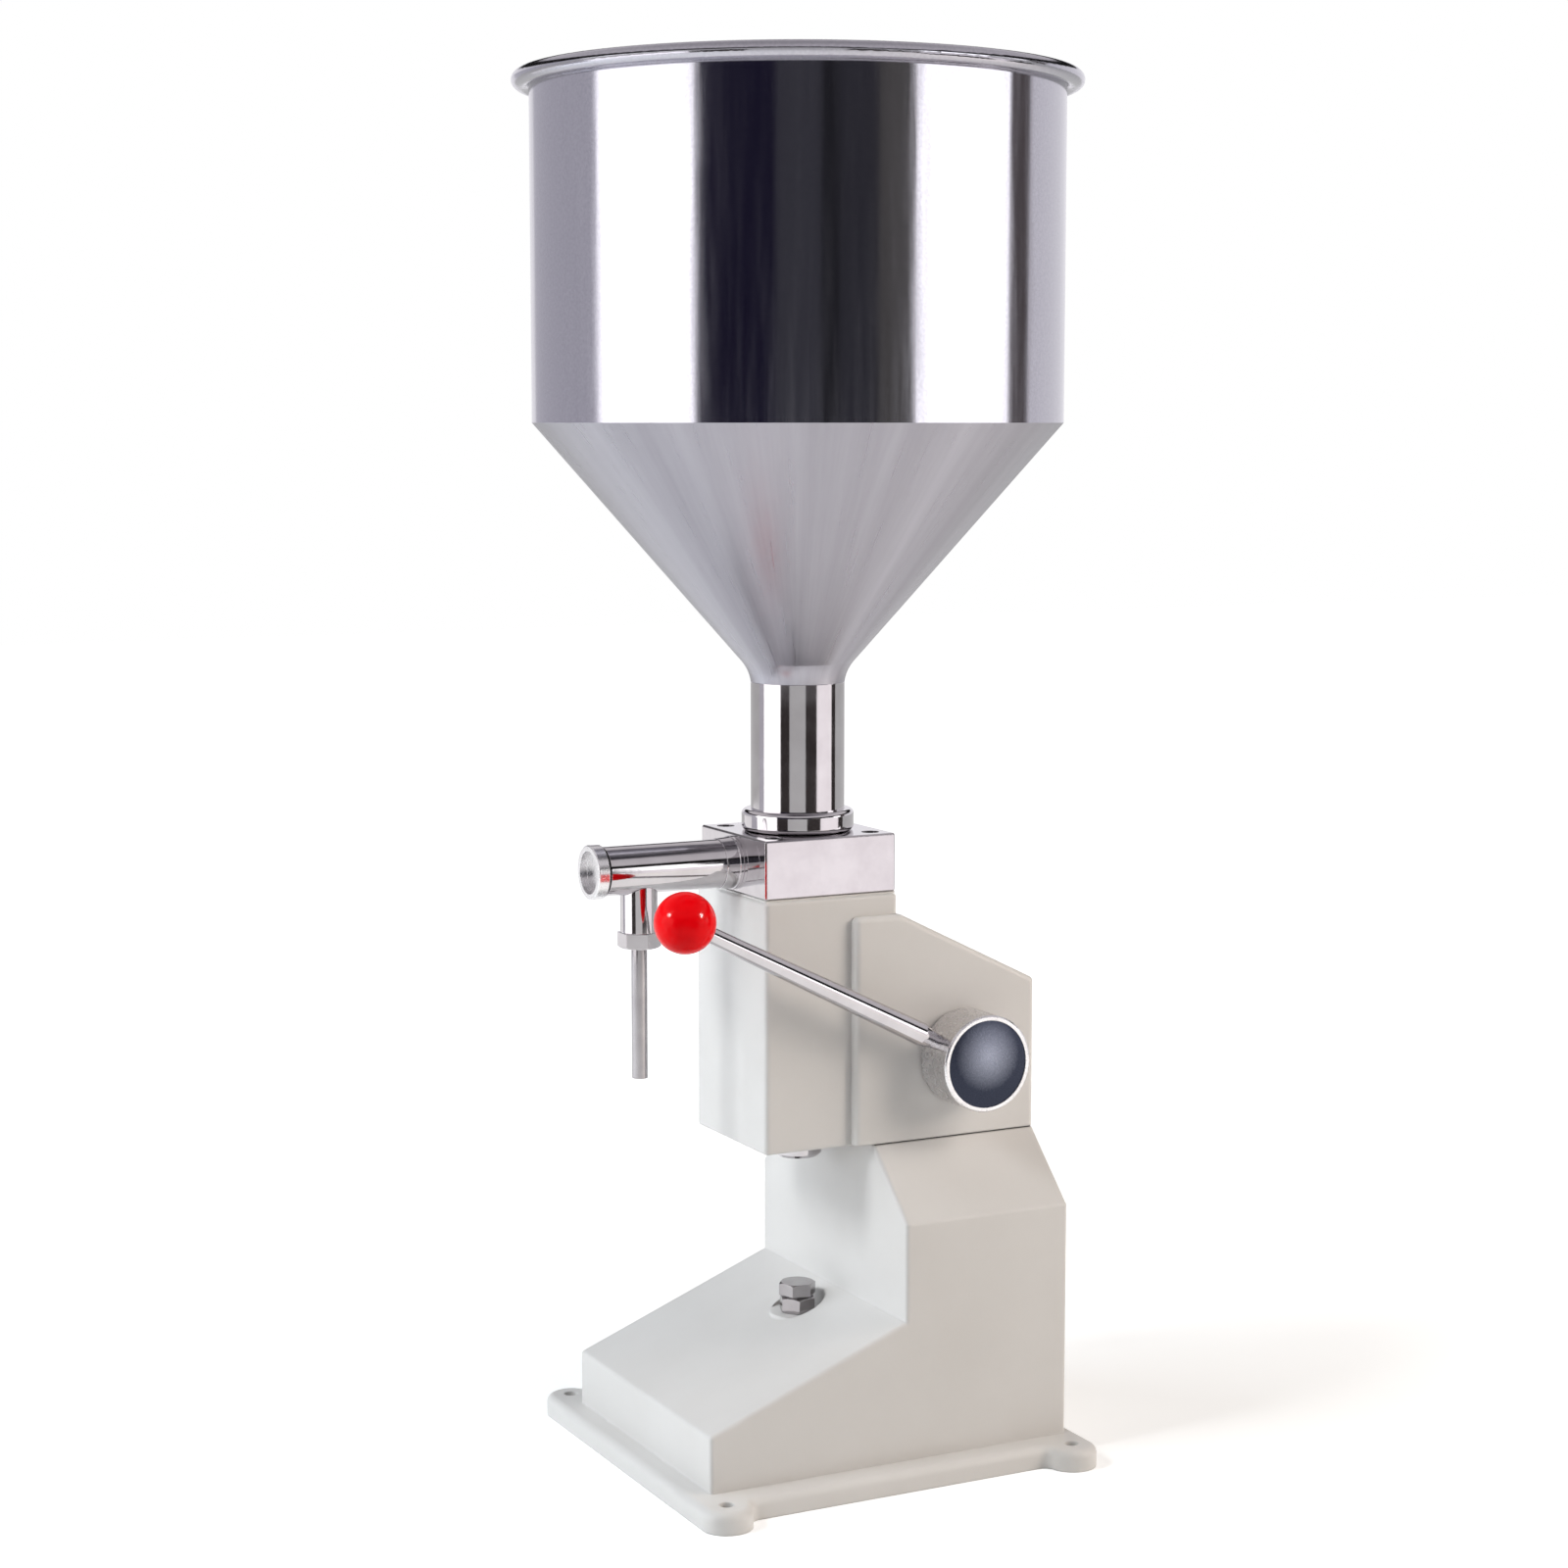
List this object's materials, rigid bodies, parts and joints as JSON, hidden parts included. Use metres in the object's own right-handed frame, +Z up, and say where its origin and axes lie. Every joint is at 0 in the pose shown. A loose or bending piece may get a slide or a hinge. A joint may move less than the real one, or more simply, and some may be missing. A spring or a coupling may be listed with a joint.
{
  "type": "manual filling machine",
  "caption": "Hand-lever piston filler: open conical hopper over a valve block, front discharge pipe with down nozzle, lever gearbox and a foot with a sloping toe and stop bolt.",
  "frame": {"origin": "centre of the four foot holes, on the underside of the base", "axes": "+Z up along the piston and hopper, -Y the front with the sloping toe, the discharge pipe and the nozzle, +X the side of the hub and the lever"},
  "size_m": [0.2856, 0.2856, 0.7049],
  "materials": {
    "paint": "satin",
    "polished_steel": "polished",
    "brushed_steel": "brushed",
    "machined_steel": "turned",
    "bronze": "turned",
    "seal_rubber": "matt",
    "seal_plastic": "matt",
    "knob_red": "gloss",
    "dark_steel": "satin",
    "screw_steel": "satin"
  },
  "bodies": {
    "frame": {"base_casting": "paint", "gearbox_housing": "paint", "housing_gasket": "seal_rubber", "column_casting": "paint", "column_screws": "screw_steel", "housing_screws": "screw_steel", "cylinder_liner": "machined_steel", "rod_guide_bush": "bronze", "rod_wiper": "seal_rubber", "shaft_bush_right": "bronze", "shaft_bush_left": "bronze", "block_gasket": "seal_plastic", "valve_block": "polished_steel", "block_screws": "screw_steel", "inlet_seat": "machined_steel", "valve_spider": "machined_steel", "inlet_spring": "machined_steel", "neck_collar": "polished_steel", "neck_seal": "seal_rubber", "hopper_neck": "polished_steel", "hopper_cone": "brushed_steel", "hopper_cylinder": "brushed_steel", "discharge_pipe": "polished_steel", "pipe_lock_ring": "polished_steel", "outlet_seat": "machined_steel", "outlet_spring": "machined_steel", "pipe_end_cap": "polished_steel", "cap_seal": "seal_rubber", "nozzle_boss": "polished_steel", "nozzle_nut": "polished_steel", "nozzle_ferrule": "machined_steel", "nozzle_tube": "polished_steel", "lock_nut": "polished_steel"},
    "lever": {"lever_shaft": "machined_steel", "rocker_arm": "machined_steel", "arm_key": "machined_steel", "hub_key": "machined_steel", "shaft_sleeves": "bronze", "lever_hub": "polished_steel", "hub_cap": "dark_steel", "hub_grub_screw": "screw_steel", "lever_rod": "polished_steel", "ball_knob": "knob_red"},
    "piston_set": {"piston": "machined_steel", "piston_seals": "seal_plastic", "piston_rod": "polished_steel", "piston_screw": "screw_steel", "cross_pin": "machined_steel"},
    "inlet_valve_body": {"inlet_valve": "machined_steel"},
    "outlet_valve_body": {"outlet_valve": "machined_steel"},
    "stop_bolt_body": {"stop_bolt": "polished_steel"}
  },
  "joints": [
    {"name": "lever_swing", "type": "hinge", "parent": "frame", "child": "lever", "pos_m": [0, 0.0615, 0.2084], "axis": [1, 0, 0], "range_deg": [0, 31.05]},
    {"name": "piston_slide", "type": "slide", "parent": "frame", "child": "piston_set", "axis": [0, 0, -1], "range_m": [0, 0.0401]},
    {"name": "inlet_valve_lift", "type": "slide", "parent": "frame", "child": "inlet_valve_body", "axis": [0, 0, -1], "range_m": [0, 0.004], "stiffness_N_per_m": 300, "springref_m": -0.008, "deforming": ["inlet_spring"]},
    {"name": "outlet_valve_lift", "type": "slide", "parent": "frame", "child": "outlet_valve_body", "axis": [0, -1, 0], "range_m": [0, 0.005], "stiffness_N_per_m": 200, "springref_m": -0.01, "deforming": ["outlet_spring"]},
    {"name": "stop_bolt_height", "type": "slide", "parent": "frame", "child": "stop_bolt_body", "axis": [0, 0, 1], "range_m": [0, 0.0275]}
  ],
  "couplings": [
    {"joint": "piston_slide", "follows": "lever_swing", "m_per_rad": 0.07381}
  ]
}
